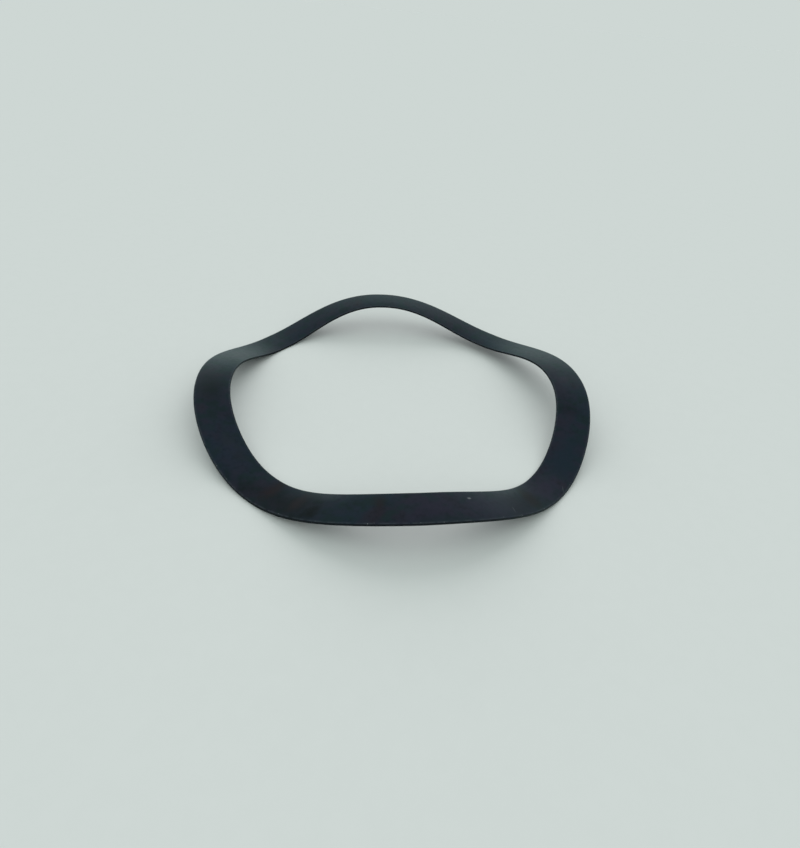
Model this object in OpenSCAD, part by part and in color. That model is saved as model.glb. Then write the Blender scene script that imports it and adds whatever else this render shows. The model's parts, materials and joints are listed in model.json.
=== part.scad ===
// Wave spring washer: one flat ring of blued spring steel, pressed into waves round its rim.
// It lies on its low seats at z = 0 with its axis on Z, and one crest points along +X.
// Every line across the strip is level, so the height depends only on the angle round the ring.

/* [Ring] */
// Outside diameter, a loose fit in the bore of the housing
outer_d = 46.5; // [44:0.1:60]
// Inside diameter, clear of the shaft and of the bearing's inner ring
inner_d = 38.6; // [30:0.1:42]
// Thickness of the spring strip
thickness = 0.36; // [0.26:0.02:0.8]
// Radius of the strip's tumbled edges
edge_r = 0.08; // [0.02:0.01:0.12]

/* [Waves] */
// Number of crests, and of seats between them
waves = 4; // [3:1:6]
// Rise of the strip from its low seats to its crests
wave_rise = 3.55; // [1.5:0.05:5]
// Height at which forming left every other seat above the low ones
seat_lift = 0.6; // [0:0.05:1]
// Fullness of the crests: 0 is an even wave, and more makes the crests broad and the seats narrow
crest_fullness = 0.22; // [-0.5:0.02:0.5]
// Width of the small flat that each crest and seat bears on
bearing_flat = 0.6; // [0.2:0.05:2]

/* [Hidden] */

BLUED_STEEL = [0.10, 0.12, 0.15];

// Facets on each slope from one bearing flat to the next, on each rounded edge, and round the walls
slope_steps = 24;
edge_steps = 2;
wall_sides = 360;

outer_r = outer_d / 2;
inner_r = inner_d / 2;
half_t = thickness / 2;
free_height = wave_rise + thickness;

// Angle from a crest to the next seat, and what the two half flats at its ends leave for the slope
half_wave = 180 / waves;
flat_angle = bearing_flat / (outer_r + inner_r) * 360 / PI;
slope_angle = half_wave - flat_angle;

// Bends are numbered round the ring from the crest on +X, so the odd ones are seats
function is_crest(bend) = bend % 2 == 0;
function is_lifted(bend) = bend % 4 == 1;
function bend_height(bend) = is_crest(bend) ? wave_rise : is_lifted(bend) ? seat_lift : 0;

// Share of the rise left at a share of the way down a slope: a cosine, swelled by the crests' fullness
function cosine_share(down) = (1 + cos(180 * down)) / 2;
function full_share(share) = share * (1 + crest_fullness * (1 - share));

// Fall of that share for each radian down the slope
function share_fall(down) =
    (1 + crest_fullness - 2 * crest_fullness * cosine_share(down)) * 90 * sin(180 * down) / slope_angle;

// One line across the strip, as [angle, height of its middle surface, rise per radian]
function line_across(bend, step) =
    let (
        along = step / slope_steps,
        falling = is_crest(bend),
        down = falling ? along : 1 - along,
        crest = bend_height(falling ? bend : bend + 1),
        seat = bend_height(falling ? bend + 1 : bend),
        fall = (crest - seat) * share_fall(down)
    )
    [
        bend * half_wave + flat_angle / 2 + along * slope_angle,
        half_t + seat + (crest - seat) * full_share(cosine_share(down)),
        falling ? -fall : fall
    ];

lines = [for (bend = [0 : 2 * waves - 1], step = [0 : slope_steps]) line_across(bend, step)];

// A rounded edge as [distance in from the wall, height], from the flat of the strip towards the wall.
// Its last facet runs on past the wall to half the thickness, and the blank's walls trim it there.
edge_turn = 90 / edge_steps;
edge = [for (a = [90 : -edge_turn : edge_turn]) [edge_r * (1 - cos(a)), half_t - edge_r * (1 - sin(a))]];
tip = [-(half_t - edge_r) * tan(edge_turn / 2), 0];

function reversed(list) = [for (i = [len(list) - 1 : -1 : 0]) list[i]];
function below(list) = [for (p = reversed(list)) [p.x, -p.y]];
side = concat(edge, [tip], below(edge));

// The strip's section as [radius, height over its middle surface]: down its outer side, then up its inner side
section = concat(
    [for (p = side) [outer_r - p.x, p.y]],
    [for (p = reversed(side)) [inner_r + p.x, p.y]]
);

// A point of the section on one line across the strip, set square to the strip's slope there
function strip_point(line, p) =
    let (slope = atan(line[2] / p.x), shift = p.y * sin(slope))
    [
        p.x * cos(line[0]) + shift * sin(line[0]),
        p.x * sin(line[0]) - shift * cos(line[0]),
        line[1] + p.y * cos(slope)
    ];

// The waved strip, a closed loop of the section carried along all the lines
module waved_strip() {
    count = len(section);
    points = [for (line = lines, p = section) strip_point(line, p)];
    faces = [
        for (l = [0 : len(lines) - 1], p = [0 : count - 1])
            let (
                here = l * count,
                next = (l + 1) % len(lines) * count,
                q = (p + 1) % count
            )
            each [[here + p, next + p, next + q], [here + p, next + q, here + q]]
    ];
    polyhedron(points, faces);
}

// The cut walls of the blank, tall enough for all the waves
module blank_walls() {
    spare = thickness;
    translate([0, 0, -spare]) difference() {
        cylinder(r = outer_r, h = free_height + 2 * spare, $fn = wall_sides);
        translate([0, 0, -spare]) cylinder(r = inner_r, h = free_height + 4 * spare, $fn = wall_sides);
    }
}

module wave_washer() {
    color(BLUED_STEEL) intersection() {
        waved_strip();
        blank_walls();
    }
}

wave_washer();
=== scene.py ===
import json
from math import cos, pi, radians, sin, sqrt

import bpy
import numpy as np
from mathutils import Matrix, Vector


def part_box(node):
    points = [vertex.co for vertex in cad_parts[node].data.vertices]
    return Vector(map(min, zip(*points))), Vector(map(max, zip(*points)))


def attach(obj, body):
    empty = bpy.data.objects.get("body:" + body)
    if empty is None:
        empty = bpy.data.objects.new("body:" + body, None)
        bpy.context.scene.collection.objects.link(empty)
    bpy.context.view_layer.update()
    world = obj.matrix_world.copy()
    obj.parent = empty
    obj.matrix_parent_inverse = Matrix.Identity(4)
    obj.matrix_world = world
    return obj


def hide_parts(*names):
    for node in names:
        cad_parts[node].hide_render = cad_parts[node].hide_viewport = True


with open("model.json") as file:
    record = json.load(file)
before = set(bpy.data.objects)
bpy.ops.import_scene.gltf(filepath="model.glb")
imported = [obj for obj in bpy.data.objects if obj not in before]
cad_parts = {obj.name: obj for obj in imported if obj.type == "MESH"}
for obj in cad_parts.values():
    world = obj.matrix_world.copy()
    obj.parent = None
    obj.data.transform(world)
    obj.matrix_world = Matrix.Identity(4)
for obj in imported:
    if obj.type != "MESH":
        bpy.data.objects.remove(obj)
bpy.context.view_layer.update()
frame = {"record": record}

# Dresses the wave spring washer: one smooth waved ring of blued steel stands for the solid, on a plain table.

MM = 0.001
WASHER = "wave_washer"

# Sizes of the washer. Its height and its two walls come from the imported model.
LOW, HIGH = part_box(WASHER)
MOUNTS = {mount["name"]: mount for mount in frame["record"]["mounts"]}
OUTER_R = MOUNTS["housing_guide"]["dims"]["r_mm"] * MM
INNER_R = MOUNTS["shaft_hole"]["dims"]["r_mm"] * MM
THICKNESS = 0.36 * MM
WAVES = 4
WAVE_RISE = HIGH.z - LOW.z - THICKNESS
SEAT_LIFT = 0.6 * MM
CREST_FULLNESS = 0.22
BEARING_FLAT = 0.6 * MM

# Radius of the strip's tumbled edges and width of the wear and painted sheen on them, and how far in from the
# walls and how
#  deep blanking drew the strip's top down to its outer and its inner edge
EDGE_R = 0.08 * MM
LIP_WIDTH = 0.16 * MM
DRAW_WIDTH = 1.8 * MM
OUTER_DRAW = 0.06 * MM
INNER_DRAW = 0.11 * MM

# Fineness of the washer's mesh: lines round the ring, facets on each rounded edge and each drawn side of the
# top, and strips on the flats between them
LINES_ROUND = 960
EDGE_FACETS = 8
DRAW_FACETS = 8
FLAT_STRIPS = 4

# Colours of the oxide, of the steel where the oxide is thin or gone, and what is left of white at a grazing view.
# The thin oxide colour also paints sheen along the inner edge and the lip, and the black oxide colour also paints
# shade on the walls and on the front-left slope.
BLUE_OXIDE = (0.0200, 0.0318, 0.0475, 1)
VIOLET_OXIDE = (0.0290, 0.0302, 0.0455, 1)
TEAL_OXIDE = (0.0190, 0.0335, 0.0375, 1)
MAUVE_OXIDE = (0.0400, 0.0350, 0.0600, 1)
BROWN_OXIDE = (0.0285, 0.0220, 0.0265, 1)
BLACK_OXIDE_AND_SHADE = (0.0115, 0.0140, 0.0165, 1)
THIN_OXIDE_AND_SHEEN = (0.0620, 0.0710, 0.0840, 1)
BARE_STEEL = (0.4200, 0.4300, 0.4400, 1)
GRAZING_TINT = (0.90, 1.00, 1.00, 1)

# Sizes of the clouds, tints, patches, mottle and edge flecks in the oxide. Rolling and shearing left fine lines,
# with their sizes along three axes; the rolling lines run at a turn from +X. All are shallow in a satin surface.
CLOUD_SIZE = 6.0 * MM
TINT_SIZE = 1.3 * MM
PATCH_SIZE = 2.6 * MM
MOTTLE_SIZE = 0.5 * MM
FLECK_SIZE = 0.16 * MM
ROLLING_SIZE = (6.0 * MM, 0.05 * MM, 0.05 * MM)
ROLLING_TURN = radians(24)
SHEAR_SIZE = (0.05 * MM, 0.05 * MM, 0.6 * MM)
RELIEF_DEPTH = 0.003 * MM
SATIN_ROUGHNESS = 0.36

# Heat tints, stains, scratches and painted light on the top of the strip, each over the ones before it: angle in
# degrees, share of the width from the inside, half length and half width in millimetres, slant of the length from
# the strip's own direction in degrees, colour and strength. The two thin oxide marks at the inner edge are
# painted sheen, and the broad black patch at 235 degrees is partly a dark stain and partly painted shade.
MARKS = (
    (207.0, 0.40, 4.5, 2.2, 8, MAUVE_OXIDE, 0.35),
    (272.0, 0.50, 4.5, 2.6, 0, MAUVE_OXIDE, 0.40),
    (288.0, 0.50, 5.0, 2.8, 0, MAUVE_OXIDE, 0.45),
    (296.0, 0.62, 3.4, 2.4, 0, MAUVE_OXIDE, 0.55),
    (313.0, 0.50, 3.8, 2.6, 0, MAUVE_OXIDE, 0.60),
    (358.0, 0.40, 3.0, 1.6, 0, MAUVE_OXIDE, 0.40),
    (326.5, 0.50, 4.5, 2.8, 0, BLUE_OXIDE, 0.75),
    # painted sheen along the inner edge of the two front slopes, where the curled edge mirrors the sky
    (242.5, 0.02, 3.6, 1.5, 0, THIN_OXIDE_AND_SHEEN, 0.55),
    (301.0, 0.02, 3.4, 1.3, 0, THIN_OXIDE_AND_SHEEN, 0.50),
    (184.0, 0.56, 5.0, 2.6, 0, BLACK_OXIDE_AND_SHADE, 0.60),
    # partly a dark stain and partly painted shade on the front-left slope
    (235.0, 0.62, 7.0, 3.2, 0, BLACK_OXIDE_AND_SHADE, 0.82),
    (304.5, 0.20, 1.3, 0.7, 70, BLACK_OXIDE_AND_SHADE, 0.45),
    (298.0, 0.62, 3.6, 2.2, 0, BLACK_OXIDE_AND_SHADE, 0.38),
    (228.0, 0.42, 2.6, 1.1, 88, BROWN_OXIDE, 0.90),
    (237.5, 0.50, 2.0, 1.0, 78, BROWN_OXIDE, 0.75),
    (259.5, 0.45, 2.4, 1.0, 92, BROWN_OXIDE, 0.80),
    (303.5, 0.58, 2.0, 1.1, 78, BROWN_OXIDE, 0.75),
    (243.0, 0.68, 1.7, 1.1, 75, BLACK_OXIDE_AND_SHADE, 1.00),
    (343.5, 0.50, 1.9, 1.4, 80, BLACK_OXIDE_AND_SHADE, 0.30),
    (283.5, 0.27, 0.26, 0.15, 0, BARE_STEEL, 0.45),
    (315.3, 0.89, 0.80, 0.07, 32, BARE_STEEL, 0.18),
    (294.6, 0.76, 0.50, 0.06, 76, BARE_STEEL, 0.14),
)

# The photograph's view: where the camera stands, what it aims at, its roll, and its lens in pixels of the image's
# long side
CAMERA_PLACE = Vector((-8.92, -56.81, 41.36)) * MM
CAMERA_AIM = Vector((-0.234, -6.655, 2.105)) * MM
CAMERA_ROLL = radians(5.09)
FOCAL_PIXELS = 568.7
LONG_SIDE_PIXELS = 848
SENSOR_MM = 36.0
NEAREST_SEEN = 1 * MM

# The table: how far it reaches from the ring in metres, the lines of its mesh, and its grain between two shades
TABLE_REACH = 4.0
TABLE_LINES = 9
TABLE_GRAIN = 1.5 * MM
TABLE_SHADES = (0.761, 0.783, 0.774, 1), (0.779, 0.801, 0.792, 1)
TABLE_ROUGHNESS = 0.8

# The even sky, and the soft sun with its turn about Z from +X and its height over the table
SKY = (0.617, 0.679, 0.658, 1)
SUN_COLOUR = (1.0, 0.97, 0.99)
SUN_TURN = radians(80)
SUN_RAISED = radians(15)
SUN_SPREAD = radians(75)
SUN_STRENGTH = 1.8


class Signal:
    """A value in a finish's node tree. Sums on it are written in Python, and each operator adds a Math node."""

    def __init__(self, finish, socket):
        self.finish = finish
        self.socket = socket

    def math(self, operation, first, second):
        return self.finish.node("ShaderNodeMath", {"operation": operation}, {0: first, 1: second})

    def __add__(self, other):
        return self.math("ADD", self, other)

    def __radd__(self, other):
        return self.math("ADD", other, self)

    def __sub__(self, other):
        return self.math("SUBTRACT", self, other)

    def __rsub__(self, other):
        return self.math("SUBTRACT", other, self)

    def __mul__(self, other):
        return self.math("MULTIPLY", self, other)

    def __rmul__(self, other):
        return self.math("MULTIPLY", other, self)

    def eased(self, low, high):
        """0 at low and 1 at high, with a smooth step between them."""
        sockets = {"Value": self, "From Min": low, "From Max": high}
        return self.finish.node("ShaderNodeMapRange", {"interpolation_type": "SMOOTHSTEP"}, sockets)


class Finish:
    """One procedural material, with short calls for the nodes that it needs."""

    def __init__(self, name):
        self.material = bpy.data.materials.new(name)
        self.material.use_nodes = True
        self.tree = self.material.node_tree
        self.tree.nodes.clear()
        self.place = self.node("ShaderNodeTexCoord", out="Object")

    def node(self, kind, settings=None, sockets=None, out=0):
        """Adds a node: its settings are set first, then each socket gets its value or its link."""
        made = self.tree.nodes.new(kind)
        for key, value in (settings or {}).items():
            setattr(made, key, value)
        for key, value in (sockets or {}).items():
            if isinstance(value, Signal):
                self.tree.links.new(value.socket, made.inputs[key])
            else:
                made.inputs[key].default_value = value
        return Signal(self, made.outputs[out]) if made.outputs else None

    def local(self, place, turn, size):
        """Coordinates from a place on the piece, turned about Z, in units of size along each axis."""
        sockets = {"Vector": self.place, "Location": place, "Rotation": (0, 0, turn), "Scale": size}
        return self.node("ShaderNodeMapping", {"vector_type": "TEXTURE"}, sockets)

    def noise(self, size, detail):
        """Cloudy noise about 0.5, whose largest lumps are about size across."""
        sockets = {"Vector": self.place, "Scale": 1 / size, "Detail": detail}
        return self.node("ShaderNodeTexNoise", {}, sockets)

    def streaks(self, turn, size):
        """Noise whose lumps are drawn out to size along three axes, turned about Z."""
        sockets = {"Vector": self.local((0, 0, 0), turn, size), "Scale": 1.0, "Detail": 3.0}
        return self.node("ShaderNodeTexNoise", {}, sockets)

    def mark(self, place, turn, size, ragged):
        """1 at a place, falling to 0 at the rim of an ellipsoid of these half sizes, made ragged by noise."""
        local = self.local(place, turn, size)
        away = self.node("ShaderNodeVectorMath", {"operation": "LENGTH"}, {0: local}, out="Value")
        return 1 - (away + ragged).eased(0.0, 1.0)

    def attribute(self, name):
        """A number that the mesh holds for each of its points."""
        return self.node("ShaderNodeAttribute", {"attribute_name": name}, out="Fac")

    def blend(self, factor, first, second):
        """Colour first where factor is 0, and second where it is 1."""
        return self.node("ShaderNodeMix", {"data_type": "RGBA"}, {0: factor, 6: first, 7: second}, out=2)

    def bump(self, height, depth):
        """Normal of a surface whose relief rises by depth, in metres, as height runs from 0 to 1."""
        return self.node("ShaderNodeBump", {}, {"Height": height, "Distance": depth})

    def done(self, sockets):
        """Ends the tree in a Principled shader with these sockets, and returns the material."""
        shader = self.node("ShaderNodeBsdfPrincipled", {}, sockets)
        self.node("ShaderNodeOutputMaterial", {}, {"Surface": shader})
        return self.material


def wave(angle):
    """Height of the strip's middle surface at each angle round the ring, and its rise per radian.

    Bends are numbered from the crest on +X, so the even ones are crests and the odd ones seats. Between two
    bends the height falls from crest to seat as w * (1 + fullness * (1 - w)), where w is half of
    1 + cos(pi * down) and down runs from 0 to 1 between the half flats at the two bends. Every other seat
    stands SEAT_LIFT higher.
    """
    half_wave = pi / WAVES
    flat = BEARING_FLAT / (OUTER_R + INNER_R) / half_wave
    turns = angle / half_wave
    bend = np.floor(turns).astype(int)
    falling = bend % 2 == 0
    along = np.clip((turns - bend - flat) / (1 - 2 * flat), 0, 1)
    down = np.where(falling, along, 1 - along)
    seat = np.where(np.where(falling, bend + 1, bend) % 4 == 1, SEAT_LIFT, 0)
    drop = WAVE_RISE - seat
    share = (1 + np.cos(pi * down)) / 2
    height = THICKNESS / 2 + seat + drop * share * (1 + CREST_FULLNESS * (1 - share))
    fall = drop * (1 + CREST_FULLNESS * (1 - 2 * share)) * pi / 2 * np.sin(pi * down)
    fall = fall / (half_wave * (1 - 2 * flat))
    return height, np.where(falling, -fall, fall)


def half_side(depth):
    """Half of a side of the strip, as rows of distance in from the wall, height, edge weight and wall weight.

    From the flat of the strip its surface falls by depth * (1 - inset / DRAW_WIDTH) squared, and over the last
    EDGE_R it also turns down along a quarter circle to the wall. The edge weight is exp(-(inset / LIP_WIDTH)
    squared), and with turn the angle left of that quarter, the wall weight is cos(turn) squared.
    """
    drawn = np.linspace(DRAW_WIDTH, EDGE_R, DRAW_FACETS, endpoint=False)
    turn = np.linspace(pi / 2, 0, EDGE_FACETS + 1)
    inset = np.concatenate([drawn, EDGE_R * (1 - np.cos(turn))])
    turn = np.concatenate([np.full(DRAW_FACETS, pi / 2), turn])
    height = THICKNESS / 2 - depth * (1 - inset / DRAW_WIDTH) ** 2 - EDGE_R * (1 - np.sin(turn))
    return np.stack([inset, height, np.exp(-(inset / LIP_WIDTH) ** 2), np.cos(turn) ** 2], 1)


def strip_section():
    """The strip's section as rows of radius, height over its middle surface, edge weight and wall weight.

    One closed loop: over the outer edge and down its wall, in along the underside, up the inner wall and out
    along the top.
    """
    under_half = half_side(0)[::-1] * [1, -1, 1, 1]
    outer = np.vstack([half_side(OUTER_DRAW), under_half]) * [-1, 1, 1, 1] + [OUTER_R, 0, 0, 0]
    inner = np.vstack([half_side(INNER_DRAW), under_half])[::-1] + [INNER_R, 0, 0, 0]
    share = np.linspace(0, 1, FLAT_STRIPS + 1)[1:-1, None]
    under = outer[-1] + share * (inner[0] - outer[-1])
    top = inner[-1] + share * (outer[0] - inner[-1])
    return np.vstack([outer, under, inner, top])


def waved_ring(section):
    """Points of the washer: its section carried round the ring, set square to the strip's slope at each angle."""
    angle = np.arange(LINES_ROUND)[:, None] * 2 * pi / LINES_ROUND
    middle, rise = wave(angle)
    radius, over = section.T[:2]
    lean = np.arctan2(rise, radius)
    shift = over * np.sin(lean)
    x = radius * np.cos(angle) + shift * np.sin(angle)
    y = radius * np.sin(angle) - shift * np.cos(angle)
    return np.stack([x, y, middle + over * np.cos(lean)], -1)


def on_top(degrees, share):
    """The point on the top of the strip at an angle and a share of its width from the inside."""
    angle = radians(degrees)
    radius = INNER_R + share * (OUTER_R - INNER_R)
    middle = wave(np.array([angle]))[0][0]
    return radius * cos(angle), radius * sin(angle), float(middle) + THICKNESS / 2


def grid_mesh(name, points, closed):
    """Smooth mesh of quads on a grid of points, closed along both its directions where asked."""
    rows, columns = points.shape[:2]
    number = np.arange(rows * columns).reshape(rows, columns)
    if closed:
        number = np.pad(number, (0, 1), mode="wrap")
    corners = [number[:-1, :-1], number[:-1, 1:], number[1:, 1:], number[1:, :-1]]
    quads = np.stack(corners, -1).reshape(-1, 4)
    mesh = bpy.data.meshes.new(name)
    mesh.vertices.add(rows * columns)
    mesh.vertices.foreach_set("co", points.astype(np.float32).ravel())
    mesh.loops.add(quads.size)
    mesh.loops.foreach_set("vertex_index", quads.astype(np.int32).ravel())
    mesh.polygons.add(len(quads))
    mesh.polygons.foreach_set("loop_start", np.arange(0, quads.size, 4, dtype=np.int32))
    mesh.polygons.foreach_set("use_smooth", np.ones(len(quads), dtype=bool))
    mesh.update(calc_edges=True)
    return mesh


def weigh(mesh, name, values):
    """Stores one number for each point of a mesh."""
    made = mesh.attributes.new(name, "FLOAT", "POINT")
    made.data.foreach_set("value", values.astype(np.float32))


def show(name, mesh, material):
    """Puts a mesh in the scene with its material."""
    mesh.materials.append(material)
    shown = bpy.data.objects.new(name, mesh)
    bpy.context.scene.collection.objects.link(shown)
    return shown


def blued_steel():
    """Satin blue-black oxide on spring steel: clouded tints, rolling lines, edge wear with painted sheen on the
    lip, and cut walls painted darker as shade.
    """
    steel = Finish("blued_steel")
    clouds = steel.noise(CLOUD_SIZE, 2.0)
    tints = steel.noise(TINT_SIZE, 2.0)
    patches = steel.noise(PATCH_SIZE, 3.0)
    mottle = steel.noise(MOTTLE_SIZE, 4.0)
    flecks = steel.noise(FLECK_SIZE, 2.0)
    rolling = steel.streaks(ROLLING_TURN, ROLLING_SIZE)
    shear = steel.streaks(0, SHEAR_SIZE)
    edge = steel.attribute("edge")
    wall = steel.attribute("wall")

    hue = (0.6 * clouds + 0.4 * tints).eased(0.36, 0.64)
    greened = (1 - tints).eased(0.46, 0.66) * 0.8
    browned = patches.eased(0.50, 0.90) * 0.5
    blackened = (1 - patches).eased(0.52, 0.90) * 0.6
    dulled = mottle.eased(0.45, 0.85) * 0.4
    colour = steel.blend(hue, BLUE_OXIDE, VIOLET_OXIDE)
    colour = steel.blend(greened, colour, TEAL_OXIDE)
    colour = steel.blend(browned, colour, BROWN_OXIDE)
    colour = steel.blend(blackened, colour, BLACK_OXIDE_AND_SHADE)
    colour = steel.blend(dulled, colour, BLACK_OXIDE_AND_SHADE)

    ragged = 0.8 * (mottle - 0.5) + 1.2 * (patches - 0.5)
    for degrees, share, length, width, slant, tint, strength in MARKS:
        size = (length * MM, width * MM, length * MM)
        spot = steel.mark(on_top(degrees, share), radians(degrees + 90 + slant), size, ragged)
        colour = steel.blend(spot * strength, colour, tint)

    # wear on the oxide at the edges, also lightening the lip as painted sheen
    worn_and_sheen = edge.eased(0.10, 0.90) * (1 - wall) * mottle.eased(0.30, 0.60) * 0.7
    bared = edge.eased(0.25, 0.60) * flecks.eased(0.68, 0.76) * 0.7
    # painted shade: the cut walls darkened towards black oxide, with faint shear lines
    wall_shade = wall.eased(0.15, 0.60) * (0.85 + 0.5 * (shear - 0.5))
    colour = steel.blend(worn_and_sheen, colour, THIN_OXIDE_AND_SHEEN)
    colour = steel.blend(bared, colour, BARE_STEEL)
    colour = steel.blend(wall_shade, colour, BLACK_OXIDE_AND_SHADE)

    uneven = 0.12 * (mottle - 0.5) + 0.10 * (rolling - 0.5)
    relief = 0.55 * rolling + 0.35 * mottle + 0.1 * shear
    return steel.done({
        "Base Color": colour,
        "Metallic": 1.0,
        "Roughness": SATIN_ROUGHNESS + uneven + 0.12 * wall - 0.06 * worn_and_sheen,
        "Specular Tint": GRAZING_TINT,
        "Normal": steel.bump(relief, RELIEF_DEPTH),
    })


def table_top():
    """Plain pale table without gloss, with the faintest grain."""
    table = Finish("table_top")
    colour = table.blend(table.noise(TABLE_GRAIN, 3.0), *TABLE_SHADES)
    return table.done({"Base Color": colour, "Roughness": TABLE_ROUGHNESS, "Specular IOR Level": 0.0})


def washer():
    """The dressed washer, with the weights of its edges and walls for its finish, in place of the solid."""
    section = strip_section()
    mesh = grid_mesh("blued_wave_ring", waved_ring(section), True)
    weigh(mesh, "edge", np.tile(section[:, 2], LINES_ROUND))
    weigh(mesh, "wall", np.tile(section[:, 3], LINES_ROUND))
    ring = show("blued_wave_ring", mesh, blued_steel())
    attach(ring, "root")
    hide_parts(WASHER)


def table():
    """A wide flat square under the washer's two low seats and the raised seat between them at the front left.

    That seat stands SEAT_LIFT higher than the low ones, so the square falls by SEAT_LIFT over the ring's radius
    along the diagonal from that seat to the one across the ring.
    """
    reach = np.linspace(-TABLE_REACH, TABLE_REACH, TABLE_LINES)
    x, y = np.meshgrid(reach, reach)
    diagonal = (x + y) / sqrt(2)
    mesh = grid_mesh("table_top", np.stack([x, y, -SEAT_LIFT / OUTER_R * diagonal], -1), False)
    show("table_top", mesh, table_top())


def light_scene():
    """An even pale sky all round, and one very soft sun, low behind the washer, that the satin doesn't mirror."""
    world = bpy.data.worlds.new("studio")
    world.use_nodes = True
    world.node_tree.nodes["Background"].inputs["Color"].default_value = SKY
    bpy.context.scene.world = world
    light = bpy.data.lights.new("soft_sun", "SUN")
    light.energy = SUN_STRENGTH
    light.angle = SUN_SPREAD
    light.color = SUN_COLOUR
    sun = bpy.data.objects.new("soft_sun", light)
    sun.rotation_euler = (pi / 2 - SUN_RAISED, 0, pi / 2 + SUN_TURN)
    sun.visible_glossy = False
    bpy.context.scene.collection.objects.link(sun)


def camera():
    """The photograph's camera: it looks from its place at its aim, and rolls about its line of sight."""
    lens = bpy.data.cameras.new("camera")
    lens.sensor_width = SENSOR_MM
    lens.lens = FOCAL_PIXELS * SENSOR_MM / LONG_SIDE_PIXELS
    lens.clip_start = NEAREST_SEEN
    stand = bpy.data.objects.new("camera", lens)
    bpy.context.scene.collection.objects.link(stand)
    level = (CAMERA_AIM - CAMERA_PLACE).to_track_quat("-Z", "Y").to_matrix().to_4x4()
    roll = Matrix.Rotation(CAMERA_ROLL, 4, "Z")
    stand.matrix_world = Matrix.Translation(CAMERA_PLACE) @ level @ roll
    bpy.context.scene.camera = stand


bpy.context.scene.view_settings.view_transform = "Standard"
camera()
washer()
table()
light_scene()
